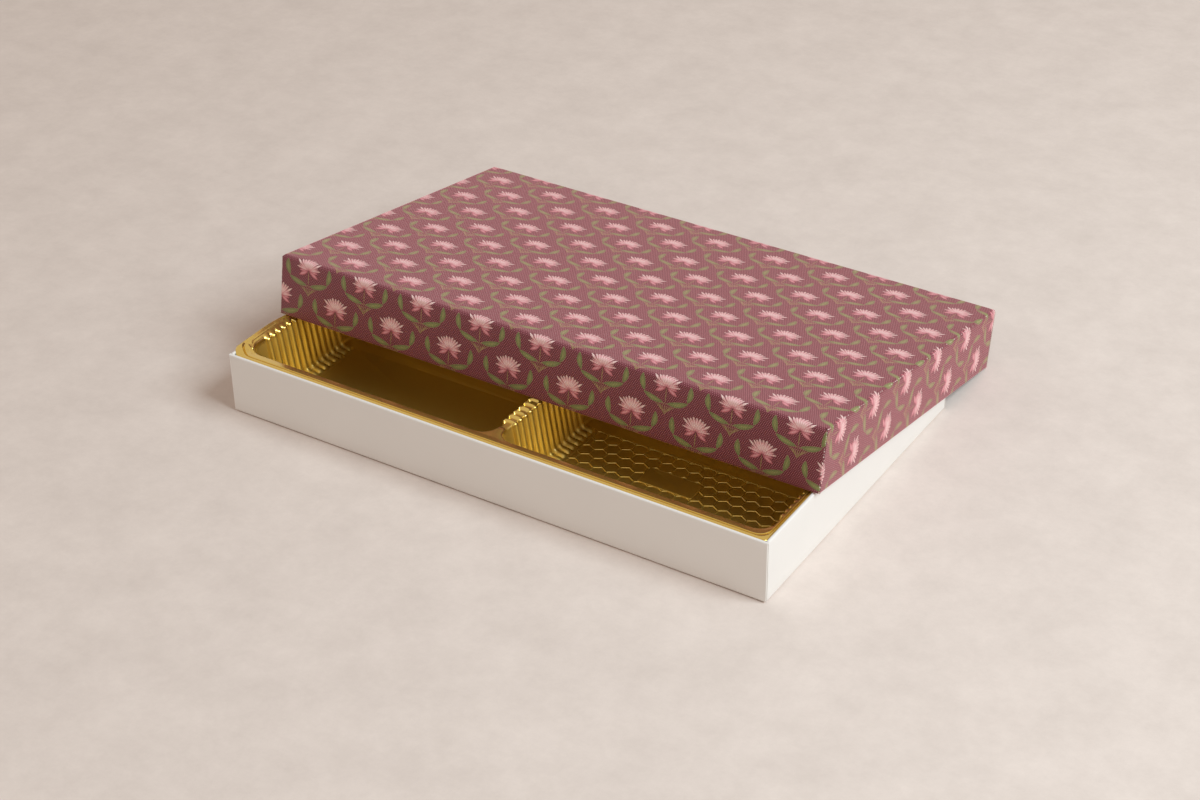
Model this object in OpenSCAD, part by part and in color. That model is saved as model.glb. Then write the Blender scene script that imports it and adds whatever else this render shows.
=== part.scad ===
// A two-piece sweet box: a shallow base tray and a lift-off lid, each folded from one flat
// blank of board with double, rolled-over walls, and a gold plastic tray with four pockets.
// The lid stands ajar: its back edge is on the table behind the base, and its front wall
// lies across the base's end walls.

/* [Base] */
// Length of the base, outside
base_l = 292; // [200:1:380]
// Width of the base, outside
base_w = 177.5; // [150:0.5:240]
// Height of the base
base_h = 31.6; // [24:0.1:50]

/* [Board] */
// Thickness of the board
board_t = 0.5; // [0.3:0.05:0.8]
// Outside radius of the fold between a wall and its floor or top
fold_r = 1.2; // [0.9:0.1:2.5]
// Gap beside a front or back wall where the end wall is cut
seam_gap = 0.4; // [0.1:0.05:1]
// Room that keeps a rolled-over wall off the floor or top
lining_play = 0.1; // [0.05:0.05:0.5]
// Room on each side of a corner tab between the outer wall and the rolled-over wall
tab_play = 0.05; // [0.02:0.01:0.3]
// Length of a corner tab
tab_l = 34; // [10:1:60]
// Height that a corner tab loses towards its free end
tab_taper = 4; // [0:0.5:8]

/* [Lid] */
// How much shallower the lid is than the base
lid_shortfall = 0.6; // [0:0.1:5]
// Room between the base and the lid, on each side
lid_play = 0.45; // [0.3:0.05:1.5]
// How far back the lid stands from its closed place
lid_set_back = 41.2; // [20:0.1:60]
// Room under the lid where it rests on the table and on the base
seat_gap = 0.3; // [0.1:0.05:0.5]

/* [Tray] */
// Thickness of the plastic sheet
sheet_t = 0.4; // [0.3:0.05:1]
// Room between the tray and the base, on each side
tray_play = 0.4; // [0.2:0.05:1]
// Room under the tray's pockets
tray_lift = 0.3; // [0.1:0.05:1]
// Depth of the tray's flange below the rim of the base
tray_drop = 0.8; // [0.5:0.1:4]
// Width of the flange along the front and back
side_flange = 6.5; // [4:0.1:12]
// Width of the flange at the two ends
end_flange = 2.7; // [2:0.1:10]
// Width of the crest between two pockets
crest_w = 4; // [3:0.1:12]
// Slope of the pocket walls, in degrees from upright
draft = 8.5; // [3:0.5:12]
// Corner radius of a pocket at the flange
pocket_r = 8; // [5:0.5:14]
// Corner radius of the flange
flange_r = 2; // [0.5:0.5:6]
// Distance from the tray's edge to the bead on its flange
bead_inset = 1.2; // [0.5:0.1:1.5]
// Width of the bead
bead_w = 0.8; // [0.4:0.1:1]
// Height of the bead
bead_h = 0.3; // [0.1:0.05:0.4]
// Distance from a pocket's edge to the raised frame on its floor
frame_inset = 12.8; // [10:0.1:20]
// Width of the raised frame
frame_w = 0.8; // [0.4:0.1:2]
// Height of the raised frame
frame_h = 0.4; // [0.2:0.1:1]

/* [Flutes] */
// Distance between two flutes
flute_pitch = 4.05; // [3:0.05:6]
// Straight wall left bare between a pocket's corner and its outermost flute
flute_room = 5; // [2:0.5:12]
// Radius of a flute
flute_r = 1; // [0.6:0.1:1.3]
// Depth of a flute's upper end below the flange
flute_drop = 0.8; // [0.3:0.1:3]
// Length of a flute's foot along the floor of the pocket
foot_l = 7; // [2:0.5:12]

/* [Hidden] */
$fn = 32;
tray_corner_sides = 20;
flute_sides = 8;
// Overshoot of a cutting shape, and thickness of a slab that only sets an outline
cut = 1;
film = 0.05;

// Walls, from the board: outer wall, tab with its room, and rolled-over wall
wall_t = 3 * board_t + 2 * tab_play;
roll_r = wall_t / 2;
// Depth of the fold's hollow beside the rolled-over wall, which stands just clear of it
fold_reach = max(fold_r - (wall_t - board_t), 0);
lining_foot = fold_r - sqrt(pow(fold_r - board_t, 2) - pow(fold_reach, 2)) + lining_play;

// Lid, from the base
lid_h = base_h - lid_shortfall;
lid_l = base_l + 2 * (lid_play + wall_t);
lid_w = base_w + 2 * (lid_play + wall_t);
lid_tilt = asin(base_h / (lid_w - wall_t));
lid_back_y = lid_w / 2 + lid_set_back;

// Tray, from the inside of the base
tray_l = base_l - 2 * (wall_t + tray_play);
tray_w = base_w - 2 * (wall_t + tray_play);
flange_z = base_h - tray_drop;
pocket_floor_z = board_t + tray_lift + sheet_t;
pocket_l = (tray_l - crest_w) / 2 - end_flange;
pocket_w = (tray_w - crest_w) / 2 - side_flange;
pocket_x = (crest_w + pocket_l) / 2;
pocket_y = (crest_w + pocket_w) / 2;
pocket_inset = (flange_z - pocket_floor_z) * tan(draft);
least_pocket_r = 1;
flutes = floor((pocket_w - 2 * (pocket_r + flute_room)) / flute_pitch) + 1;

white_board = "white";
printed_board = [0.45, 0.18, 0.27];
gold_sheet = [0.83, 0.65, 0.25];

// Sections of the folded board: x runs inwards from the outer face, y runs up from the fold

// Quarter turn between the floor or top and a wall
module fold_section() {
  intersection() {
    translate([fold_r, fold_r]) difference() {
      circle(fold_r);
      circle(fold_r - board_t);
    }
    square(fold_r);
  }
}

// Outer wall above its fold
module wall_section(h) {
  translate([0, fold_r]) square([board_t, h - roll_r - fold_r]);
}

// Half turn at the rim
module roll_section(h) {
  translate([roll_r, h - roll_r]) intersection() {
    difference() {
      circle(roll_r);
      circle(roll_r - board_t);
    }
    translate([-roll_r, 0]) square([wall_t, roll_r]);
  }
}

// Inner wall that the roll carries down to the floor or top
module lining_section(h) {
  translate([wall_t - board_t, h - roll_r]) mirror([0, 1])
    square([board_t, h - roll_r - lining_foot]);
}

// Runs a section along the front wall, with its outer face at the front
module along_front(w, length) {
  translate([0, -w / 2, 0]) rotate([90, 0, 90]) linear_extrude(length, center = true) children();
}

// Runs a section along the left wall, with its outer face at the left
module along_left(l, length) {
  translate([-l / 2, 0, 0]) rotate([90, 0, 0]) linear_extrude(length, center = true) children();
}

// Panels of a blank of outside length l, width w and height h, standing on its floor.
// side is -1 for the front or left and 1 for the back or right.

module blank_floor(l, w) {
  translate([-l / 2 + fold_r, -w / 2 + fold_r, 0]) cube([l - 2 * fold_r, w - 2 * fold_r, board_t]);
}

module blank_long_wall(l, w, h, side) {
  mirror([0, side > 0 ? 1 : 0, 0]) {
    along_front(w, l - 2 * fold_r) fold_section();
    along_front(w, l) wall_section(h);
  }
}

module blank_end_wall(l, w, h, side) {
  mirror([side > 0 ? 1 : 0, 0, 0]) {
    along_left(l, w - 2 * fold_r) fold_section();
    along_left(l, w - 2 * (board_t + seam_gap)) wall_section(h);
  }
}

module blank_long_rollover(l, w, h, side) {
  mirror([0, side > 0 ? 1 : 0, 0]) {
    along_front(w, l) roll_section(h);
    along_front(w, l - 2 * (wall_t - board_t)) lining_section(h);
  }
}

module blank_end_rollover(l, w, h, side) {
  mirror([side > 0 ? 1 : 0, 0, 0]) {
    along_left(l, w - 2 * wall_t) roll_section(h);
    along_left(l, w - 2 * wall_t) lining_section(h);
  }
}

// Tab that turns the corner from a front or back wall into the hollow of the end wall
module blank_tab(l, w, h, x_side, y_side) {
  tab_h = h - roll_r - fold_r;
  mirror([x_side > 0 ? 1 : 0, 0, 0]) mirror([0, y_side > 0 ? 1 : 0, 0])
    translate([-l / 2 + board_t + tab_play, -w / 2 + board_t, fold_r])
      rotate([90, 0, 90]) linear_extrude(board_t)
        polygon([[0, 0], [tab_l, tab_taper], [tab_l, tab_h - tab_taper], [0, tab_h]]);
}

// Base, standing on the table

module base_floor() { color(white_board) blank_floor(base_l, base_w); }
module base_front_wall() { color(white_board) blank_long_wall(base_l, base_w, base_h, -1); }
module base_back_wall() { color(white_board) blank_long_wall(base_l, base_w, base_h, 1); }
module base_left_wall() { color(white_board) blank_end_wall(base_l, base_w, base_h, -1); }
module base_right_wall() { color(white_board) blank_end_wall(base_l, base_w, base_h, 1); }
module base_front_rollover() { color(white_board) blank_long_rollover(base_l, base_w, base_h, -1); }
module base_back_rollover() { color(white_board) blank_long_rollover(base_l, base_w, base_h, 1); }
module base_left_rollover() { color(white_board) blank_end_rollover(base_l, base_w, base_h, -1); }
module base_right_rollover() { color(white_board) blank_end_rollover(base_l, base_w, base_h, 1); }
module base_front_left_tab() { color(white_board) blank_tab(base_l, base_w, base_h, -1, -1); }
module base_front_right_tab() { color(white_board) blank_tab(base_l, base_w, base_h, 1, -1); }
module base_back_left_tab() { color(white_board) blank_tab(base_l, base_w, base_h, -1, 1); }
module base_back_right_tab() { color(white_board) blank_tab(base_l, base_w, base_h, 1, 1); }

// Tray, hanging in the base with its pockets just off the floor

module rounded_plate(l, w, r, h) {
  linear_extrude(h) offset(r, $fn = tray_corner_sides) square([l - 2 * r, w - 2 * r], center = true);
}

// Pocket from the flange down to its floor, grown by the sheet where it stands for the outside,
// and running up past the flange where it cuts
module pocket_form(grow, above) {
  low_l = pocket_l - 2 * pocket_inset;
  low_w = pocket_w - 2 * pocket_inset;
  low_r = max(pocket_r - pocket_inset, least_pocket_r);
  hull() {
    translate([0, 0, flange_z - film])
      rounded_plate(pocket_l + 2 * grow, pocket_w + 2 * grow, pocket_r + grow, film + above);
    translate([0, 0, pocket_floor_z - grow])
      rounded_plate(low_l + 2 * grow, low_w + 2 * grow, low_r + grow, film);
  }
}

// Half-round ridge down a pocket's end wall, with a foot that runs out along the floor
module flute() {
  wall_run = (flange_z - flute_drop - pocket_floor_z) / cos(draft);
  translate([-pocket_l / 2 + pocket_inset, 0, pocket_floor_z]) {
    rotate([0, -draft, 0]) cylinder(h = wall_run, r = flute_r, $fn = flute_sides);
    rotate([0, 90, 0]) cylinder(h = foot_l, r = flute_r, $fn = flute_sides);
  }
}

module flute_row() {
  intersection() {
    for (i = [0 : flutes - 1])
      translate([0, (i - (flutes - 1) / 2) * flute_pitch, 0]) flute();
    pocket_form(sheet_t / 2, 0);
  }
}

// Raised line round a rectangle, up from the surface it is pressed in
module raised_line(l, w, line_w, line_h) {
  translate([0, 0, -film]) linear_extrude(line_h + film) difference() {
    square([l, w], center = true);
    square([l - 2 * line_w, w - 2 * line_w], center = true);
  }
}

module at_pockets() {
  for (x_side = [0, 1], y_side = [0, 1])
    mirror([x_side, 0, 0]) mirror([0, y_side, 0]) translate([pocket_x, pocket_y, 0]) children();
}

module sweet_tray() {
  frame_l = pocket_l - 2 * frame_inset;
  frame_wide = pocket_w - 2 * frame_inset;
  color(gold_sheet) {
    difference() {
      union() {
        translate([0, 0, flange_z - sheet_t]) rounded_plate(tray_l, tray_w, flange_r, sheet_t);
        translate([0, 0, flange_z])
          raised_line(tray_l - 2 * bead_inset, tray_w - 2 * bead_inset, bead_w, bead_h);
        at_pockets() pocket_form(sheet_t, 0);
      }
      at_pockets() pocket_form(0, cut);
    }
    at_pockets() {
      flute_row();
      mirror([1, 0, 0]) flute_row();
      translate([0, 0, pocket_floor_z]) raised_line(frame_l, frame_wide, frame_w, frame_h);
    }
  }
}

// Lid, upside down to its blank, leaning back on its rear edge

module lid_place() {
  translate([0, lid_back_y, seat_gap]) rotate([-lid_tilt, 0, 0])
    translate([0, -lid_w / 2, lid_h]) rotate([180, 0, 0])
      color(printed_board) children();
}

module lid_top() { lid_place() blank_floor(lid_l, lid_w); }
module lid_front_wall() { lid_place() blank_long_wall(lid_l, lid_w, lid_h, 1); }
module lid_back_wall() { lid_place() blank_long_wall(lid_l, lid_w, lid_h, -1); }
module lid_left_wall() { lid_place() blank_end_wall(lid_l, lid_w, lid_h, -1); }
module lid_right_wall() { lid_place() blank_end_wall(lid_l, lid_w, lid_h, 1); }
module lid_front_rollover() { lid_place() blank_long_rollover(lid_l, lid_w, lid_h, 1); }
module lid_back_rollover() { lid_place() blank_long_rollover(lid_l, lid_w, lid_h, -1); }
module lid_left_rollover() { lid_place() blank_end_rollover(lid_l, lid_w, lid_h, -1); }
module lid_right_rollover() { lid_place() blank_end_rollover(lid_l, lid_w, lid_h, 1); }
module lid_front_left_tab() { lid_place() blank_tab(lid_l, lid_w, lid_h, -1, 1); }
module lid_front_right_tab() { lid_place() blank_tab(lid_l, lid_w, lid_h, 1, 1); }
module lid_back_left_tab() { lid_place() blank_tab(lid_l, lid_w, lid_h, -1, -1); }
module lid_back_right_tab() { lid_place() blank_tab(lid_l, lid_w, lid_h, 1, -1); }

base_floor();
base_front_wall();
base_back_wall();
base_left_wall();
base_right_wall();
base_front_rollover();
base_back_rollover();
base_left_rollover();
base_right_rollover();
base_front_left_tab();
base_front_right_tab();
base_back_left_tab();
base_back_right_tab();
sweet_tray();
lid_top();
lid_front_wall();
lid_back_wall();
lid_left_wall();
lid_right_wall();
lid_front_rollover();
lid_back_rollover();
lid_left_rollover();
lid_right_rollover();
lid_front_left_tab();
lid_front_right_tab();
lid_back_left_tab();
lid_back_right_tab();
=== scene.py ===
"""A mithai sweet box on a pale floor: white folded base, gold plastic tray, printed lid ajar."""
from math import atan2, cos, pi, radians, sin, sqrt

import bmesh
import bpy
from mathutils import Matrix, Vector, noise


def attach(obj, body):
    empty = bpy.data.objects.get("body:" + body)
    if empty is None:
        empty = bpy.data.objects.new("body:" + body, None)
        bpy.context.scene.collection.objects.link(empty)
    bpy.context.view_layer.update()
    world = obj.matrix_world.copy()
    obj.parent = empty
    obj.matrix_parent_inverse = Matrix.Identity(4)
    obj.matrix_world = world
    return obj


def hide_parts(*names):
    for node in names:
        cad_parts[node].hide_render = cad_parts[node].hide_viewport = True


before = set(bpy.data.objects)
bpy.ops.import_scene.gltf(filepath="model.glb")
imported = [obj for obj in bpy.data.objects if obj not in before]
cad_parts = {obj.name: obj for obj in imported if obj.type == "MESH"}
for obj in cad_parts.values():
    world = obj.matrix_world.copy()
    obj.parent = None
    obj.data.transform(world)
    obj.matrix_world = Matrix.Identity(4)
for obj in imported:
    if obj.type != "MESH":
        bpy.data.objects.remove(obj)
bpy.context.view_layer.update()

# The camera stands to the right of the near long side and looks down on the box, with a
# portrait lens from a little over a metre.
aim = Vector((0.00033, 0.00941, 0))
azimuth, elevation, roll = radians(32.826), radians(33.065), radians(-1.005)
distance = 1.14347
back = Vector((sin(azimuth) * cos(elevation), -cos(azimuth) * cos(elevation), sin(elevation)))
bpy.ops.object.camera_add()
camera = bpy.context.object
camera.data.lens = 70.89
camera.data.sensor_width = 36
camera.matrix_world = (Matrix.Translation(aim + back * distance)
                       @ back.to_track_quat("Z", "Y").to_matrix().to_4x4()
                       @ Matrix.Rotation(roll, 4, "Z"))
bpy.context.scene.camera = camera


# Studio: a wide sheet of matt warm-white paper under the box, one large softbox high on the
# right and a little behind, and soft warm light from the walls all round.
def linear(hex_colour):
    """An sRGB hex colour as linear RGBA."""
    parts = [int(hex_colour[i:i + 2], 16) / 255 for i in (1, 3, 5)]
    return tuple(c / 12.92 if c <= 0.04045 else ((c + 0.055) / 1.055) ** 2.4 for c in parts) + (1,)


def add(tree, kind, settings=(), **inputs):
    """Adds a node to a tree. Settings are its properties; inputs go by name or as i0, i1 ..."""
    made = tree.nodes.new("ShaderNode" + kind)
    for name, value in dict(settings).items():
        setattr(made, name, value)
    for name, value in inputs.items():
        key = int(name[1:]) if name[0] == "i" and name[1:].isdigit() else name.replace("_", " ")
        socket = made.inputs[key]
        if isinstance(value, bpy.types.NodeSocket):
            tree.links.new(value, socket)
        else:
            socket.default_value = value
    return made


bpy.ops.object.select_all(action="DESELECT")
bpy.ops.mesh.primitive_plane_add(size=8, location=(0, 0, -0.0002))
floor = bpy.context.object
floor.name = "paper_sweep"
# Matt paper: no shine, and an even colour with a trace of mottling, in patches of about 33 mm
paper = bpy.data.materials.new("seamless_paper")
paper.use_nodes = True
tree = paper.node_tree
mottle = add(tree, "TexNoise", Vector=add(tree, "TexCoord").outputs["Object"], Scale=30.0, Detail=7.0,
             Roughness=0.8)
tone = add(tree, "Mix", {"data_type": "RGBA"}, i0=mottle.outputs["Fac"], i6=linear("#d3c5bc"),
           i7=linear("#f8eae1"))
surface = tree.nodes["Principled BSDF"]
surface.inputs["Roughness"].default_value = 0.95
surface.inputs["Specular IOR Level"].default_value = 0.1
tree.links.new(tone.outputs[2], surface.inputs["Base Color"])
floor.data.materials.append(paper)

bpy.context.scene.view_settings.view_transform = "Standard"
softbox_place = Vector((1.42, 0.06, 1.5))
bpy.ops.object.light_add(type="AREA", location=softbox_place)
softbox = bpy.context.object
softbox.data.shape = "SQUARE"
softbox.data.size = 1.1
softbox.data.energy = 33.5
softbox.data.color = (0.8, 0.93, 1)
softbox.rotation_mode = "QUATERNION"
softbox.rotation_quaternion = softbox_place.to_track_quat("Z", "Y")

world = bpy.data.worlds.new("studio_walls")
bpy.context.scene.world = world
world.use_nodes = True
tree = world.node_tree
tree.nodes.clear()
# The walls give a warm light; the camera, and whatever mirrors them, sees them as plain and pale
walls_light = add(tree, "Background", Color=(1, 0.866, 0.764, 1), Strength=0.455)
walls_seen = add(tree, "Background", Color=linear("#ddd2ca"), Strength=1.0)
path = add(tree, "LightPath")
seen = add(tree, "Math", {"operation": "MAXIMUM"}, i0=path.outputs["Is Camera Ray"],
           i1=path.outputs["Is Glossy Ray"])
seen = add(tree, "Math", {"operation": "MAXIMUM"}, i0=seen.outputs[0],
           i1=path.outputs["Is Transmission Ray"])
both = add(tree, "MixShader", i0=seen.outputs[0], i1=walls_light.outputs[0], i2=walls_seen.outputs[0])
tree.links.new(both.outputs[0], add(tree, "OutputWorld").inputs["Surface"])


# Base: one blank of white coated board. Each wall folds up from the floor, rolls over at the
# rim and runs down the inside, and the front and back walls turn the corners with tabs.
mm = 0.001
# Places nearer to each other than this are the same place
tiny = 1e-6
# The board, the roll at a rim, a double wall, and the strip of floor that is made with a wall
board_t, roll_r, wall_t, land = 0.5 * mm, 0.8 * mm, 1.6 * mm, 0.6 * mm
# How far an end wall stops short of the walls beside it, and a rolled-over wall of the floor
end_gap, lining_gap = 1.05 * mm, 0.3 * mm


def pick(kind, test):
    """Selects the vertices, edges or faces of the mesh in edit mode whose middle passes a test."""
    bpy.ops.mesh.select_all(action="DESELECT")
    bpy.ops.mesh.select_mode(type=kind)
    mesh = bmesh.from_edit_mesh(bpy.context.object.data)
    for item in {"VERT": mesh.verts, "EDGE": mesh.edges, "FACE": mesh.faces}[kind]:
        corners = [item] if kind == "VERT" else item.verts
        middle = sum((v.co for v in corners), Vector()) / len(corners)
        if test(middle, item):
            item.select_set(True)
    mesh.select_flush_mode()
    bmesh.update_edit_mesh(bpy.context.object.data)


def start_plane(name, width, height, centre, turn):
    """Starts a piece from a plane of a size, at a place, and enters edit mode."""
    bpy.ops.object.select_all(action="DESELECT")
    bpy.ops.mesh.primitive_plane_add(size=1, location=centre, rotation=turn)
    piece = bpy.context.object
    piece.name = name
    piece.scale = (width, height, 1)
    bpy.ops.object.transform_apply(location=True, rotation=True, scale=True)
    bpy.ops.object.mode_set(mode="EDIT")
    return piece


def board_thickness(piece, skins, edge=1):
    """Gives a sheet of board its thickness, inwards, and its two materials: face and back.
    The cut edges show the back's material, or the face's where edge is 0."""
    for skin in skins:
        piece.data.materials.append(skin)
    sheet = piece.modifiers.new("board", "SOLIDIFY")
    sheet.thickness = board_t
    sheet.offset = -1
    sheet.use_even_offset = True
    sheet.material_offset, sheet.material_offset_rim = 1, edge
    bpy.ops.object.modifier_apply(modifier=sheet.name)
    bpy.ops.object.select_all(action="DESELECT")
    piece.select_set(True)
    bpy.ops.object.shade_smooth_by_angle(angle=radians(35))


def blank_side(name, length, reach, height, fold_r, is_end, turn, waviness, skins):
    """One wall of a folded blank, from its fold over the rim and down the inside.
    It is made as the near wall of an open box, then turned about the upright axis."""
    end_cut = end_gap if is_end else 0
    roll_cut, lining_cut = (wall_t, wall_t) if is_end else (0, wall_t - board_t)
    low, high = fold_r, height - roll_r
    piece = start_plane(name, length, high - low, (0, -reach, (low + high) / 2), (pi / 2, 0, 0))
    pick("EDGE", lambda at, edge: abs(at.x) < 0.4 * length)
    bpy.ops.mesh.subdivide(number_cuts=31)
    pick("EDGE", lambda at, edge: abs(edge.verts[0].co.z - edge.verts[1].co.z) > 0.5 * (high - low))
    bpy.ops.mesh.subdivide(number_cuts=5)
    pick("EDGE", lambda at, edge: at.z < low + tiny)
    bpy.ops.mesh.spin(steps=6, angle=-pi / 2, center=(0, fold_r - reach, fold_r), axis=(1, 0, 0))
    bpy.ops.mesh.extrude_region_move(TRANSFORM_OT_translate={"value": (0, land, 0)})
    pick("EDGE", lambda at, edge: at.z > high - tiny)
    bpy.ops.mesh.spin(steps=8, angle=pi, center=(0, roll_r - reach, high), axis=(1, 0, 0))
    lining = height - roll_r - fold_r - lining_gap
    bpy.ops.mesh.extrude_region_move(TRANSFORM_OT_translate={"value": (0, 0, -lining)})
    bpy.ops.mesh.select_all(action="SELECT")
    bpy.ops.mesh.normals_make_consistent(inside=False)
    bpy.ops.object.mode_set(mode="OBJECT")
    mesh = piece.data
    outwards = sum((f.normal.y * f.area for f in mesh.polygons if f.center.y < 10 * tiny - reach), 0)
    if outwards > 0:
        mesh.flip_normals()

    # Each part of the wall ends where the die cut it, and the folds meet in a mitre
    half = length / 2
    print_at = []
    # Where the wall's foot is along the sheet: a round fold takes less board than a sharp one
    wall_from = reach + (pi / 2 - 2) * fold_r
    for v in mesh.vertices:
        along, depth, up = v.co.x / half, v.co.y + reach, v.co.z
        inner = depth > 1.5 * roll_r and up > fold_r + tiny
        if up > high + tiny:
            # The score lines leave the rim nearly flat
            v.co.z = high + roll_r * (1 - abs(depth / roll_r - 1) ** 3) ** (1 / 3)
        if up < fold_r + tiny and not inner:
            # Where three folds meet, the corner stays open by a pinhole
            pinhole = 0.3 * mm * sin(pi * min(depth / fold_r, 1))
            end = half - max(end_cut, min(depth, fold_r)) - pinhole
            turned = atan2(fold_r - min(depth, fold_r), fold_r - up) if depth < fold_r else 0
            far = reach - fold_r + fold_r * turned - max(depth - fold_r, 0)
        elif up > high + tiny or inner:
            end = half - (lining_cut if up < high + tiny else roll_cut)
            turned = atan2(max(up - high, 0), roll_r - depth)
            far = wall_from + high + roll_r * turned + max(high - up, 0)
        else:
            end = half - end_cut
            far = wall_from + up
        v.co.x = along * end
        print_at.append((v.co.x, -far))
        # The board sways a little between its corners, not quite evenly
        sway = (1 - along ** 2) * waviness
        v.co.y += sway * (0.5 + 0.5 * noise.noise(Vector((v.co.x * 9, reach * 50, up * 12))))
    sheet_map = mesh.uv_layers.new(name="sheet")
    turning = Matrix.Rotation(turn, 4, "Z")
    for loop in mesh.loops:
        at = turning @ Vector((*print_at[loop.vertex_index], 0))
        sheet_map.data[loop.index].uv = (at.x, at.y)
    board_thickness(piece, skins, edge=0)
    if not is_end:
        # The board turns the corner here, so the upright edge is round
        bpy.ops.object.mode_set(mode="EDIT")
        pick("EDGE", lambda at, edge: abs(at.x) > half - tiny and fold_r < at.z < high
             and abs(at.y + reach) < tiny and edge.calc_length() > 1 * mm)
        bpy.ops.mesh.bevel(offset=0.35 * mm, segments=3)
        bpy.ops.object.mode_set(mode="OBJECT")
    mesh.transform(turning)
    return piece


def blank_plate(name, length, width, fold_r, hollow, skins):
    """The flat floor of a blank, with the slight hollow that board takes on."""
    inset = fold_r + land
    piece = start_plane(name, length - 2 * inset, width - 2 * inset, (0, 0, 0), (pi, 0, 0))
    bpy.ops.mesh.subdivide(number_cuts=23)
    bpy.ops.object.mode_set(mode="OBJECT")
    mesh = piece.data
    sheet_map = mesh.uv_layers.new(name="sheet")
    for loop in mesh.loops:
        at = mesh.vertices[loop.vertex_index].co
        sheet_map.data[loop.index].uv = (at.x, at.y)
    for v in mesh.vertices:
        a, b = v.co.x / (length / 2 - inset), v.co.y / (width / 2 - inset)
        v.co.z += hollow * (1 - a * a) ** 2 * (1 - b * b) ** 2
    board_thickness(piece, skins)
    return piece


def coated_board(name, hex_colour):
    """Clay-coated board: smooth and a little silky, with faint clouds about 33 mm wide."""
    made = bpy.data.materials.new(name)
    made.use_nodes = True
    tree = made.node_tree
    surface = tree.nodes["Principled BSDF"]
    place = add(tree, "TexCoord").outputs["Object"]
    cloud = add(tree, "TexNoise", Vector=place, Scale=30.0, Detail=3.0)
    tone = add(tree, "MapRange", i0=cloud.outputs["Fac"], i3=0.97, i4=1.02)
    colour = add(tree, "VectorMath", {"operation": "SCALE"}, i0=linear(hex_colour)[:3],
                 Scale=tone.outputs[0])
    tree.links.new(colour.outputs[0], surface.inputs["Base Color"])
    # Fibres about 0.8 mm apart, which is as fine as the render shows
    fibres = add(tree, "TexNoise", Vector=place, Scale=1200.0, Detail=2.0)
    relief = add(tree, "Bump", Strength=0.12, Distance=0.00004, Height=fibres.outputs["Fac"])
    tree.links.new(relief.outputs[0], surface.inputs["Normal"])
    surface.inputs["Roughness"].default_value = 0.42
    return made


def blank_walls(blank, order, length, width, height, fold_r, waviness, skins):
    """The four walls of a blank, in order from the near one anticlockwise."""
    walls = {}
    for quarter, side in enumerate(order):
        is_end = side in ("left", "right")
        size = (width, length / 2) if is_end else (length, width / 2)
        walls[side] = blank_side(f"{blank}_{side}_wall", *size, height, fold_r, is_end,
                                 quarter * pi / 2, waviness, skins)
    return walls


def bare_tabs(blank):
    """Gives a blank's corner tabs, whose shape is right, the look of the board's back."""
    for corner in ("front_left", "front_right", "back_left", "back_right"):
        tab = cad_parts[f"{blank}_{corner}_tab"]
        tab.data.materials.clear()
        tab.data.materials.append(white_back)


# The back has no coat, and is a little creamier
white_face = coated_board("clay_coated_board", "#f2eee9")
white_back = coated_board("uncoated_board_back", "#ebe5dc")
base_l, base_w, base_h, base_fold_r = 292 * mm, 177.5 * mm, 31.6 * mm, 1.2 * mm
white = (white_face, white_back)
base_pieces = {"base_floor": blank_plate("white_floor_panel", base_l, base_w, base_fold_r,
                                         0.15 * mm, white)}
base_pieces.update(blank_walls("white", ("front", "right", "back", "left"), base_l, base_w, base_h,
                               base_fold_r, 0.25 * mm, white))
for side, piece in base_pieces.items():
    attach(piece, "base")
    nodes = ["base_floor"] if side == "base_floor" else [f"base_{side}_wall", f"base_{side}_rollover"]
    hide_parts(*nodes)
bare_tabs("base")


# Lid: the same kind of blank in board printed all over with lotuses, on a linen emboss. It
# leans back with its rear edge on the table and its front wall across the base.
def leaf_group():
    """A leaf or petal: how far inside it a point is, from 1 on its rib to 0 at its edge. Bend
    moves its belly to the right, in half widths; a Tip of 1 is pointed and of 2 is round."""
    tree = bpy.data.node_groups.new("petal_outline", "ShaderNodeTree")
    for name in ("Point", "Foot", "Turn", "Size"):
        tree.interface.new_socket(name, in_out="INPUT", socket_type="NodeSocketVector")
    for name in ("Bend", "Tip"):
        tree.interface.new_socket(name, in_out="INPUT", socket_type="NodeSocketFloat")
    tree.interface.new_socket("Inside", in_out="OUTPUT", socket_type="NodeSocketFloat")
    given = tree.nodes.new("NodeGroupInput").outputs
    local = add(tree, "Mapping", {"vector_type": "TEXTURE"}, Vector=given["Point"],
                Location=given["Foot"], Rotation=given["Turn"], Scale=given["Size"])
    part = add(tree, "SeparateXYZ", Vector=local.outputs[0])
    left = add(tree, "Math", {"operation": "SUBTRACT"}, i0=4.0,
               i1=add(tree, "Math", {"operation": "MULTIPLY"}, i0=part.outputs["Y"], i1=4.0).outputs[0])
    arch = add(tree, "Math", {"operation": "MULTIPLY"}, i0=left.outputs[0], i1=part.outputs["Y"])
    belly = add(tree, "Math", {"operation": "MULTIPLY"}, i0=arch.outputs[0], i1=given["Bend"])
    across = add(tree, "Math", {"operation": "SUBTRACT"}, i0=part.outputs["X"], i1=belly.outputs[0])
    across = add(tree, "Math", {"operation": "ABSOLUTE"}, i0=across.outputs[0])
    across = add(tree, "Math", {"operation": "POWER"}, i0=across.outputs[0], i1=given["Tip"])
    inside = add(tree, "Math", {"operation": "SUBTRACT"}, i0=arch.outputs[0], i1=across.outputs[0])
    tree.links.new(inside.outputs[0], tree.nodes.new("NodeGroupOutput").inputs["Inside"])
    return tree


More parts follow.
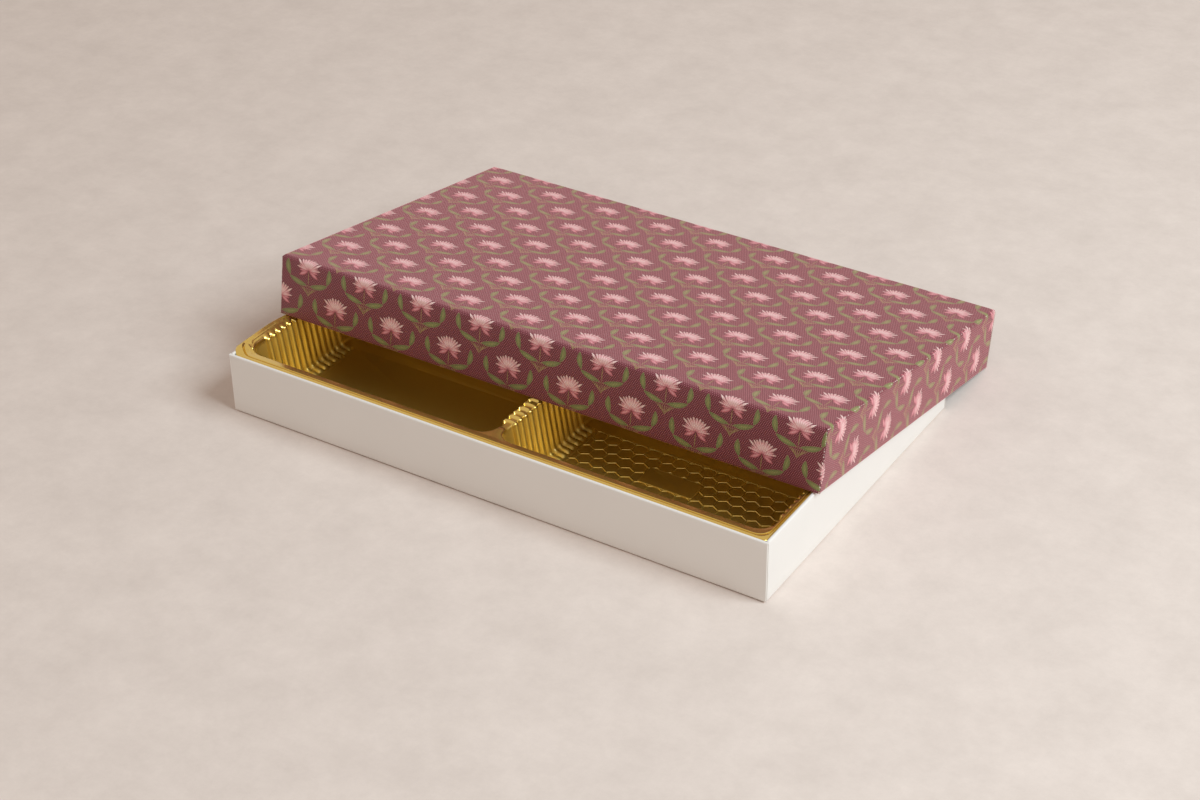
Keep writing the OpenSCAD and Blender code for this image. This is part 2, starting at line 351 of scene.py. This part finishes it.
def lotus_group():
    """One lotus, in mm from where its petals meet: petals, sepals, leaves and fine lines."""
    # Foot, lean in degrees, length, half width, bend and tip of each shape of the right half
    petals = [(0, 0, 0, 6.9, 0.85, 0, 2), (0, 0, 15, 7.2, 0.85, 0, 2), (0, 0, 29, 7, 0.8, 0, 2),
              (0, 0, 41, 7.4, 0.7, 0, 1.6), (0, 0, 54, 8.8, 0.75, 0.2, 1), (0, 0, 68, 6.4, 0.6, 0, 1),
              (0, 0, 80, 7.3, 0.75, -0.2, 1)]
    sepals = [(0.2, 0.2, 97, 5.6, 0.8, 0, 1), (0.2, 0, 119, 6.5, 1.15, 0, 1)]
    leaves = [(1, -7.6, 75, 10.8, 1.4, 0.45, 1.4), (11, -4.6, 9, 8.4, 1.5, 0.45, 1.3)]
    lines = [(0, -8.3, 0, 8.3, 0.24, 0, 1), (0, -7.9, 90, 1.8, 0.2, 0, 1),
             (0, -13.4, 0, 5.4, 0.2, 0, 1), (0, -13.4, 13, 5.6, 0.2, 0.8, 1),
             (0, -13.2, 26, 5.9, 0.2, 1, 1), (0, -13, 39, 6.5, 0.22, -1, 1),
             (0, -12.7, 51, 7.2, 0.22, -1.4, 1)]
    tree = bpy.data.node_groups.new("lotus_motif", "ShaderNodeTree")
    tree.interface.new_socket("Point", in_out="INPUT", socket_type="NodeSocketVector")
    given = tree.nodes.new("NodeGroupInput").outputs["Point"]
    part = add(tree, "SeparateXYZ", Vector=given)
    folded = add(tree, "CombineXYZ", Y=part.outputs["Y"],
                 X=add(tree, "Math", {"operation": "ABSOLUTE"}, i0=part.outputs["X"]).outputs[0])
    results = {}
    for name, shapes in (("Petals", petals), ("Sepals", sepals), ("Leaves", leaves), ("Lines", lines)):
        tree.interface.new_socket(name, in_out="OUTPUT", socket_type="NodeSocketFloat")
        total = None
        for x, y, lean, long, half, bend, tip in shapes:
            shape = add(tree, "Group", {"node_tree": petal_outline}, Point=folded.outputs[0],
                        Foot=(x, y, 0), Turn=(0, 0, -radians(lean)), Size=(half, long, 1),
                        Bend=bend, Tip=tip)
            total = shape.outputs[0] if total is None else add(
                tree, "Math", {"operation": "MAXIMUM"}, i0=total, i1=shape.outputs[0]).outputs[0]
        results[name] = total
    tree.interface.new_socket("Reach", in_out="OUTPUT", socket_type="NodeSocketFloat")
    results["Reach"] = add(tree, "VectorMath", {"operation": "LENGTH"}, i0=given).outputs["Value"]
    out = tree.nodes.new("NodeGroupOutput")
    for name, socket in results.items():
        tree.links.new(socket, out.inputs[name])
    return tree


def printed_linen():
    """Varnished litho print on linen-embossed board: satin, with fine staggered dots in relief
    whose pale colour is partly print and partly a painted highlight of the raised dots catching light."""
    made = bpy.data.materials.new("lotus_printed_board")
    made.use_nodes = True
    tree = made.node_tree
    surface = tree.nodes["Principled BSDF"]
    place = add(tree, "Mapping", Vector=add(tree, "UVMap", {"uv_map": "sheet"}).outputs[0],
                Scale=(1 / mm, -1 / mm, 1 / mm)).outputs[0]
    # Half-drop repeat: its size across and up, and where a flower stands
    repeat, first = Vector((33.4, 33.2, 100)), Vector((1.9, 5.1, 0))
    drop = repeat / 2
    flowers = []
    for shift in (first, first + Vector((drop.x, drop.y, 0))):
        near = add(tree, "VectorMath", {"operation": "SUBTRACT"}, i0=place, i1=shift)
        near = add(tree, "VectorMath", {"operation": "WRAP"}, i0=near.outputs[0], i1=drop, i2=-drop)
        flowers.append(add(tree, "Group", {"node_tree": lotus_motif}, Point=near.outputs[0]).outputs)
    amount = {}
    for name in ("Petals", "Sepals", "Leaves", "Lines"):
        amount[name] = add(tree, "Math", {"operation": "MAXIMUM"}, i0=flowers[0][name],
                           i1=flowers[1][name]).outputs[0]
    reach = add(tree, "Math", {"operation": "MINIMUM"}, i0=flowers[0]["Reach"],
                i1=flowers[1]["Reach"]).outputs[0]
    # The linen's dots and rows, each row half a step over
    dot_step, row_step = 0.95, 0.85
    part = add(tree, "SeparateXYZ", Vector=place)
    waves = []
    for axis, period in (("X", dot_step), ("Y", 2 * row_step)):
        turns = add(tree, "Math", {"operation": "MULTIPLY"}, i0=part.outputs[axis], i1=2 * pi / period)
        waves.append(add(tree, "Math", {"operation": "COSINE"}, i0=turns.outputs[0]).outputs[0])
    weave = add(tree, "Math", {"operation": "MULTIPLY"}, i0=waves[0], i1=waves[1]).outputs[0]
    dot_print_and_highlight = add(tree, "MapRange", {"interpolation_type": "SMOOTHSTEP"}, i0=weave, i1=0.35, i2=0.85)
    # The dots' pale colour is partly print and partly a painted highlight of the raised dots catching
    # light
    ground = add(tree, "Mix", {"data_type": "RGBA"}, i0=dot_print_and_highlight.outputs[0], i6=linear("#691f2c"),
                 i7=linear("#cb828c"))
    colour = ground.outputs[2]
    inks = {}
    for name, stops in (("Petals", ((0.02, "#974550"), (0.45, "#e1939a"), (0.95, "#fad3d0"))),
                        ("Sepals", ((0.02, "#923f4b"), (0.45, "#d07882"), (0.95, "#eda8ae"))),
                        ("Leaves", ((0.04, "#a7a26e"), (0.24, "#6b7543"), (0.95, "#93965a")))):
        ink = add(tree, "ValToRGB", Fac=amount[name])
        ramp = ink.color_ramp.elements
        ramp.new(0.5)
        for element, (place_on, shade) in zip(ramp, stops):
            element.position, element.color = place_on, linear(shade)
        inks[name] = ink.outputs[0]
    # The petals pale towards their tips
    tips = add(tree, "MapRange", {"interpolation_type": "SMOOTHSTEP"}, i0=reach, i1=4.6, i2=7.2,
               i4=0.8)
    inks["Petals"] = add(tree, "Mix", {"data_type": "RGBA"}, i0=tips.outputs[0], i6=inks["Petals"],
                         i7=linear("#fde4db")).outputs[2]
    inks["Lines"] = linear("#9c8358")
    for name in ("Lines", "Leaves", "Sepals", "Petals"):
        edge = add(tree, "MapRange", {"interpolation_type": "SMOOTHSTEP"}, i0=amount[name],
                   i1=0.0, i2=0.12)
        colour = add(tree, "Mix", {"data_type": "RGBA"}, i0=edge.outputs[0], i6=colour,
                     i7=inks[name]).outputs[2]
    # Specks rubbed bare on the upright corners and end folds of the lid
    fold_x = 147.9
    speck = add(tree, "TexNoise", Vector=place, Scale=1.1, Detail=3.0)
    side = add(tree, "Math", {"operation": "ABSOLUTE"}, i0=part.outputs["X"])
    off = add(tree, "Math", {"operation": "SUBTRACT"}, i0=side.outputs[0], i1=fold_x)
    off = add(tree, "Math", {"operation": "ABSOLUTE"}, i0=off.outputs[0])
    rubbed = add(tree, "MapRange", i0=off.outputs[0], i1=0.15, i2=0.4, i3=0.22, i4=0.0)
    rubbed = add(tree, "Math", {"operation": "ADD"}, i0=rubbed.outputs[0], i1=speck.outputs["Fac"])
    rubbed = add(tree, "MapRange", i0=rubbed.outputs[0], i1=0.76, i2=0.82)
    colour = add(tree, "Mix", {"data_type": "RGBA"}, i0=rubbed.outputs[0], i6=colour,
                 i7=linear("#e6d6cd")).outputs[2]
    tree.links.new(colour, surface.inputs["Base Color"])
    relief = add(tree, "Bump", Strength=0.5, Distance=0.00015, Height=weave)
    tree.links.new(relief.outputs[0], surface.inputs["Normal"])
    surface.inputs["Roughness"].default_value = 0.45
    # The raised threads catch light at a low angle
    surface.inputs["Sheen Weight"].default_value = 1.0
    surface.inputs["Sheen Roughness"].default_value = 0.41
    surface.inputs["Sheen Tint"].default_value = linear("#ffb3b7")
    return made


petal_outline = leaf_group()
lotus_motif = lotus_group()
lotus_print = printed_linen()
lid_l, lid_w, lid_h, lid_fold_r = 296.1 * mm, 181.6 * mm, 31 * mm, 1.7 * mm
# Its rear edge on the table, and how far it leans
heel, lid_tilt = (0, 132 * mm, 0.3 * mm), radians(10.11)
lid_place = (Matrix.Translation(heel) @ Matrix.Rotation(-lid_tilt, 4, "X")
             @ Matrix.Translation((0, -lid_w / 2, lid_h)) @ Matrix.Rotation(pi, 4, "X"))
printed = (lotus_print, white_back)
lid_pieces = {"lid_top": blank_plate("printed_top_panel", lid_l, lid_w, lid_fold_r,
                                     0.4 * mm, printed)}
# It is made lying on its top, so its back wall is the near one
lid_pieces.update(blank_walls("printed", ("back", "right", "front", "left"), lid_l, lid_w, lid_h,
                              lid_fold_r, 0.2 * mm, printed))
for side, piece in lid_pieces.items():
    piece.data.transform(lid_place)
    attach(piece, "lid")
    nodes = ["lid_top"] if side == "lid_top" else [f"lid_{side}_wall", f"lid_{side}_rollover"]
    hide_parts(*nodes)
bare_tabs("lid")


# Tray: one sheet of PET with a gold metallised face, vacuum formed over a mould. Its flange
# hangs just under the rim of the base; the flutes stiffen the end walls of the pockets.
tray_l, tray_w, flange_z = 288 * mm, 173.5 * mm, 30.8 * mm
pocket_l, pocket_w, pocket_r = 139.3 * mm, 78.25 * mm, 8 * mm
pocket_at = Vector((71.65, 41.125, 0)) * mm
pocket_floor = 1.2 * mm
straight = pocket_w / 2 - pocket_r
flute_pitch, flutes = 4.05 * mm, 13
# Half widths, as shares of the pitch, of a flute and of the bar that joins two across a crest
flute_half, bar_half = 0.44, 0.14
# The crest between two pockets: its half width, the lowest height on it, and how far it sinks
crest_half, crest_low, crest_drop = 2.3 * mm, 28.9 * mm, 1.1 * mm
# Section of an end wall from the flange to the floor, in mm: how far in and how high the wall
# is between two flutes, and the same for the ridge of a flute
wall_rings = [((-0.92, 30.8), (-0.92, 30.8)), ((-0.8, 30.785), (-0.8, 30.785)),
              ((-0.47, 30.71), (-0.4, 30.7)), ((-0.16, 30.47), (0.35, 30.52)),
              ((0.06, 30.16), (0.95, 30.42)), ((0.13, 29.95), (1.4, 30.3)),
              ((0.19, 29.55), (1.68, 29.95)), ((0.28, 28.95), (1.86, 29.3)),
              ((1.9, 18.1), (3.5, 18.3)), ((3.6, 6.7), (5.2, 6.9)), ((4.12, 3.3), (5.5, 4.9)),
              ((4.23, 2.48), (5.62, 4.25)), ((4.42, 1.94), (5.96, 3.62)),
              ((4.75, 1.53), (6.6, 3.12)), ((5.2, 1.28), (7.35, 2.86)), ((5.71, 1.2), (8.2, 2.78))]
foot_rings = [((8.6, 1.2), (9.6, 2.7)), ((10.2, 1.2), (10.6, 2.45)), ((11, 1.2), (11.2, 2.0)),
              ((11.6, 1.2), (11.6, 1.5)), ((12, 1.2), (12, 1.2))]


def cut_corners(radius, segments):
    """Rounds the four corners of the plane in edit mode."""
    bpy.ops.mesh.select_all(action="SELECT")
    bpy.ops.mesh.bevel(offset=radius, segments=segments, affect="VERTICES")


def smooth(share):
    """Eases a share from 0 to 1 in and out."""
    return share * share * (3 - 2 * share)


def step_in(rings):
    """Insets the selected face from each (distance in, height) to the next, in mm."""
    for (near, high), (far, low) in zip(rings, rings[1:]):
        bpy.ops.mesh.inset(thickness=(far - near) * mm, depth=(low - high) * mm)


def join_into(piece, others):
    """Joins other objects into a piece."""
    bpy.ops.object.select_all(action="DESELECT")
    for part in (*others, piece):
        part.select_set(True)
    bpy.context.view_layer.objects.active = piece
    bpy.ops.object.join()


# One pocket, stepped down from a rounded plane, then mirrored to four. First and last are how
# far in from the pocket's outline its wall starts and ends
first, last = wall_rings[0][0][0] * mm, wall_rings[-1][0][0] * mm
tray = start_plane("gold_tray", pocket_l - 2 * first, pocket_w - 2 * first,
                   pocket_at + Vector((0, 0, flange_z)), (0, 0, 0))
cut_corners(pocket_r - first, 8)
pick("EDGE", lambda at, edge: abs(abs(at.x - pocket_at.x) - pocket_l / 2 + first) < tiny)
bpy.ops.mesh.subdivide(number_cuts=167)
pick("EDGE", lambda at, edge: abs(abs(at.y - pocket_at.y) - pocket_w / 2 + first) < tiny)
bpy.ops.mesh.subdivide(number_cuts=7)
pick("FACE", lambda at, face: True)
step_in([wall for wall, ridge in wall_rings])
bpy.ops.mesh.delete(type="FACE")
# At each end the floor starts with the feet of the flutes
for way in (-1, 1):
    pick("EDGE", lambda at, edge: edge.is_boundary and at.z < pocket_floor + tiny
         and (at.x - pocket_at.x) * way > pocket_l / 2 - last - 10 * tiny)
    reached = last
    for far in [wall[0] * mm for wall, ridge in foot_rings]:
        bpy.ops.mesh.extrude_region_move(
            TRANSFORM_OT_translate={"value": (way * (reached - far), 0, 0)})
        reached = far
pick("EDGE", lambda at, edge: edge.is_boundary and at.z < pocket_floor + tiny)
bpy.ops.mesh.edge_face_add()
# The crest towards the next pocket
crest = pocket_at.x - pocket_l / 2 + first
pick("EDGE", lambda at, edge: edge.is_boundary and at.x < crest + tiny and at.z > flange_z - tiny)
bpy.ops.mesh.extrude_region_move(TRANSFORM_OT_translate={"value": (-crest, 0, 0)})
bpy.ops.object.mode_set(mode="OBJECT")
ridge_of = {wall: ridge for wall, ridge in wall_rings + foot_rings}
for v in tray.data.vertices:
    in_x, in_y = v.co.x - pocket_at.x, v.co.y - pocket_at.y
    if abs(in_y) > straight + tiny:
        continue
    beside = in_y / flute_pitch
    nearest = max(min(round(beside), flutes // 2), -(flutes // 2))
    swell = max(0, 1 - (abs(beside - nearest) / flute_half) ** 2.4) ** 0.6
    way = 1 if in_x > 0 else -1
    far, high = pocket_l / 2 / mm - abs(in_x) / mm, v.co.z / mm
    wall = min(ridge_of, key=lambda ring: abs(ring[0] - far) + abs(ring[1] - high))
    ridge = ridge_of[wall]
    if abs(wall[0] - far) + abs(wall[1] - high) < 0.01:
        v.co.x = pocket_at.x + way * (pocket_l / 2 - (wall[0] + swell * (ridge[0] - wall[0])) * mm)
        v.co.z = (wall[1] + swell * (ridge[1] - wall[1])) * mm
    # Between two pockets the crest sinks between narrow bars that join the flutes
    if v.co.x < crest_half and v.co.z > crest_low:
        bar = max(0, 1 - (abs(beside - nearest) / bar_half) ** 4)
        edge = min(1, (straight - abs(in_y)) / (1.2 * mm))
        v.co.z -= crest_drop * (1 - bar) * smooth(edge)

four = tray.modifiers.new("pockets", "MIRROR")
four.use_axis = (True, True, False)
four.merge_threshold = 10 * tiny
bpy.ops.object.modifier_apply(modifier=four.name)

# Flange: its turned-down edge, a lip, and a groove that rounds the corners more widely. Heights
# in mm of the edge's foot, the lip and the groove's outer ridge, and one just below them all
edge_foot, lip_top, ridge_top, below = 30.3, 30.72, 31.1, 30.2
rim = start_plane("flange_edge", tray_l, tray_w, (0, 0, edge_foot * mm), (0, 0, 0))
cut_corners(2 * mm, 6)
pick("EDGE", lambda at, edge: abs(at.x) > tray_l / 2 - tiny)
bpy.ops.mesh.subdivide(number_cuts=47)
pick("FACE", lambda at, face: True)
step_in([(0, edge_foot), (0.1, 30.55), (0.4, lip_top)])
bpy.ops.mesh.delete(type="FACE")
bpy.ops.object.mode_set(mode="OBJECT")
groove = start_plane("flange_groove", tray_l - 1.1 * mm, tray_w - 3.4 * mm,
                     (0, 0, ridge_top * mm), (0, 0, 0))
cut_corners(7 * mm, 6)
pick("EDGE", lambda at, edge: abs(at.x) > tray_l / 2 - 0.56 * mm)
bpy.ops.mesh.subdivide(number_cuts=47)
pick("FACE", lambda at, face: True)
step_in([(0, ridge_top), (0.15, 31.03), (0.4, 30.4), (0.6, 30.35), (0.8, 31.0), (0.95, 31.22),
         (1.15, 31.2)])
bpy.ops.mesh.delete(type="FACE")
bpy.ops.object.mode_set(mode="OBJECT")
join_into(tray, (rim, groove))
# The turned-down edge is bridged to the groove, and the flat is filled in round the pockets
bpy.ops.object.mode_set(mode="EDIT")
pick("EDGE", lambda at, edge: edge.is_boundary
     and min(abs(at.z - ridge_top * mm), abs(at.z - lip_top * mm)) < tiny)
bpy.ops.mesh.bridge_edge_loops()
pick("EDGE", lambda at, edge: edge.is_boundary and at.z > flange_z - tiny)
bpy.ops.mesh.fill()
bpy.ops.mesh.select_all(action="SELECT")
bpy.ops.mesh.remove_doubles(threshold=tiny)
bpy.ops.mesh.normals_make_consistent(inside=False)
bpy.ops.object.mode_set(mode="OBJECT")
if sum(f.normal.z * f.area for f in tray.data.polygons) < 0:
    tray.data.flip_normals()


def cut_flange(start, step, count, axis, test):
    """Cuts the flat of the flange along an axis, from a start and in steps in mm, where a test
    holds."""
    normal = Vector((0, 0, 0))
    normal[axis] = 1
    for i in range(count):
        pick("FACE", lambda at, face: min(v.co.z for v in face.verts) > below * mm and test(at / mm))
        bpy.ops.mesh.bisect(plane_co=normal * (start + step * i) * mm, plane_no=normal)


# The left flange gets a grid of edges, so that it can bend
bpy.ops.object.mode_set(mode="EDIT")
cut_flange(-145.2, 0.7, 10, 0, lambda at: at.x < 0)
cut_flange(-84, 2, 28, 1, lambda at: at.x < -139.6)
cut_flange(-81.3, 0.5, 20, 1, lambda at: at.x < -137 and -82 < at.y < -71)
cut_flange(-142.9, 0.35, 18, 0, lambda at: -143.5 < at.x < -136 and -83 < at.y < -75)
bpy.ops.object.mode_set(mode="OBJECT")

# A pinched crease near its corner has three arms, each with its bearing and length
crease, arms = Vector((-139.9, -78.9)), ((50, 4.2), (-25, 4.5), (165, 2.6))
arm_half, crease_high = 0.75, 1.1 * mm
for v in tray.data.vertices:
    if v.co.z > below * mm and v.co.x < -137 * mm and v.co.y < -70 * mm:
        off = Vector((v.co.x / mm, v.co.y / mm)) - crease
        for bearing, reach in arms:
            along = off.x * cos(radians(bearing)) + off.y * sin(radians(bearing))
            across = -off.x * sin(radians(bearing)) + off.y * cos(radians(bearing))
            if 0 < along < reach and abs(across) < arm_half:
                v.co.z += crease_high * (1 - along / reach) * (1 - abs(across) / arm_half)
# The near part of the left flange has sprung out and up, over the rim of the base. It starts
# within 4.5 mm of the corner and dies away over the 30 mm before the middle of the pocket
bend_x, bend_w = -139.6 * mm, 4.4 * mm
sprung_out, sprung_up = 2.6 * mm, 2.3 * mm
for v in tray.data.vertices:
    out = min(max((bend_x - v.co.x) / bend_w, 0), 1)
    if out > 0 and v.co.z > 29 * mm:
        rise = min(max((v.co.y + 86.7 * mm) / (4.5 * mm), 0), 1)
        fall = min(max((-31 * mm - v.co.y) / (30 * mm), 0), 1)
        sprung = smooth(rise) * smooth(fall)
        v.co.x -= sprung_out * sprung * out * out
        v.co.z += sprung_up * sprung ** 0.6 * smooth(out)

sheet = tray.modifiers.new("sheet", "SOLIDIFY")
sheet.thickness = 0.35 * mm
sheet.offset = -1
bpy.ops.object.modifier_apply(modifier=sheet.name)

# Raised lines on the pocket floors: a frame in each, and in the two right-hand ones a field of
# six-sided cells round a plain panel
field_l, field_w = pocket_l - 25.6 * mm, pocket_w - 25.6 * mm
cell_l, columns, row_pairs = 7.4 * mm, 17, 5


def raised_frame(name, length, width, centre, line, high, middle):
    """A rectangular raised line with a round top, and the plate inside it. Line and high are
    the line's width and height, and middle the plate's height, in mm."""
    frame_line = start_plane(name, length, width, centre, (0, 0, 0))
    cut_corners(1.2 * mm, 4)
    pick("FACE", lambda at, face: True)
    base = centre[2] / mm
    step_in([(0, base), (line * 0.25, base + high * 0.8), (line * 0.5, base + high),
             (line * 0.75, base + high * 0.8), (line, base + middle)])
    bpy.ops.object.mode_set(mode="OBJECT")
    return frame_line


details = []
for x_way in (-1, 1):
    for y_way in (-1, 1):
        at = Vector((x_way * pocket_at.x, y_way * pocket_at.y, pocket_floor))
        frame_high = 0.3 if x_way > 0 else 0.1
        details.append(raised_frame("frame_line", field_l, field_w, at, 0.9, frame_high, 0.02))
        if x_way < 0:
            continue
        panel_at = (66.5 * mm, y_way * 34.8 * mm, pocket_floor + 0.1 * mm)
        details.append(raised_frame("panel_line", 29 * mm, 13 * mm, panel_at, 0.7, 0.45, 0.3))
        bpy.ops.object.select_all(action="DESELECT")
        bpy.ops.mesh.primitive_circle_add(vertices=6, radius=cell_l / sqrt(3), fill_type="NGON",
                                          location=(0, 0, pocket_floor + 0.4 * mm))
        cells = bpy.context.object
        bpy.ops.object.transform_apply(location=True, rotation=True, scale=True)
        bpy.ops.object.mode_set(mode="EDIT")
        bpy.ops.mesh.select_all(action="SELECT")
        # From the top of the bar that two cells share, down to the floor of the cell
        for across, down in ((0.14, 0.04), (0.22, 0.27), (0.14, 0.04), (0.3, 0.005)):
            bpy.ops.mesh.inset(thickness=across * mm, depth=-down * mm)
        bpy.ops.object.mode_set(mode="OBJECT")
        row = 1.5 * cell_l / sqrt(3)
        for count, offset in ((2, (cell_l / 2, row, 0)), (columns, (cell_l, 0, 0)),
                              (row_pairs, (0, 2 * row, 0))):
            copies = cells.modifiers.new("cells", "ARRAY")
            copies.count = count
            copies.use_relative_offset = False
            copies.use_constant_offset = True
            copies.constant_offset_displace = offset
            copies.use_merge_vertices = True
            copies.merge_threshold = 10 * tiny
            bpy.ops.object.modifier_apply(modifier=copies.name)
        middle = Vector(((columns - 0.5) / 2 * cell_l, (row_pairs - 0.5) * row, 0))
        cells.data.transform(Matrix.Translation((at.x - middle.x, at.y - middle.y, 0)))
        # The field is trimmed to the frame
        bpy.ops.object.mode_set(mode="EDIT")
        for normal, span in (((-1, 0, 0), field_l), ((1, 0, 0), field_l),
                             ((0, -1, 0), field_w), ((0, 1, 0), field_w)):
            bpy.ops.mesh.select_all(action="SELECT")
            bpy.ops.mesh.bisect(plane_co=at + Vector(normal) * (span / 2 - 0.5 * mm),
                                plane_no=normal, clear_outer=True)
        bpy.ops.mesh.select_all(action="SELECT")
        bpy.ops.mesh.remove_doubles(threshold=tiny)
        bpy.ops.mesh.delete_loose()
        bpy.ops.object.mode_set(mode="OBJECT")
        details.append(cells)
# Each is a thin skin whose underside is sunk in the floor
for detail in details:
    bpy.ops.object.select_all(action="DESELECT")
    detail.select_set(True)
    bpy.context.view_layer.objects.active = detail
    sunk = detail.modifiers.new("sunk", "SOLIDIFY")
    sunk.thickness = 0.15 * mm
    sunk.offset = -1
    bpy.ops.object.modifier_apply(modifier=sunk.name)
    bpy.ops.object.shade_smooth_by_angle(angle=radians(20))
bpy.ops.object.select_all(action="DESELECT")
tray.select_set(True)
bpy.context.view_layer.objects.active = tray
bpy.ops.object.shade_smooth_by_angle(angle=radians(50))
join_into(tray, details)

# PET sheet with aluminium vapour under a gold lacquer: a warm mirror behind a clear skin, with
# a slow unevenness, about 17 mm wide, that bends its reflections
gold_film = bpy.data.materials.new("gold_metallised_pet")
gold_film.use_nodes = True
tree = gold_film.node_tree
surface = tree.nodes["Principled BSDF"]
surface.inputs["Base Color"].default_value = linear("#e3c365")
surface.inputs["Metallic"].default_value = 0.95
surface.inputs["Coat Weight"].default_value = 0.6
surface.inputs["Coat Roughness"].default_value = 0.06
place = add(tree, "TexCoord").outputs["Object"]
# The flange stays bright; where the mould stretched the film, it has gone hazy
height = add(tree, "SeparateXYZ", Vector=place).outputs["Z"]
haze = add(tree, "MapRange", i0=height, i1=28.5 * mm, i2=30.4 * mm, i3=0.46, i4=0.19)
tree.links.new(haze.outputs[0], surface.inputs["Roughness"])
drawn = add(tree, "TexNoise", Vector=place, Scale=60.0, Detail=2.0)
relief = add(tree, "Bump", Strength=0.15, Distance=0.0004, Height=drawn.outputs["Fac"])
tree.links.new(relief.outputs[0], surface.inputs["Normal"])
tray.data.materials.append(gold_film)
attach(tray, "tray")
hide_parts("sweet_tray")
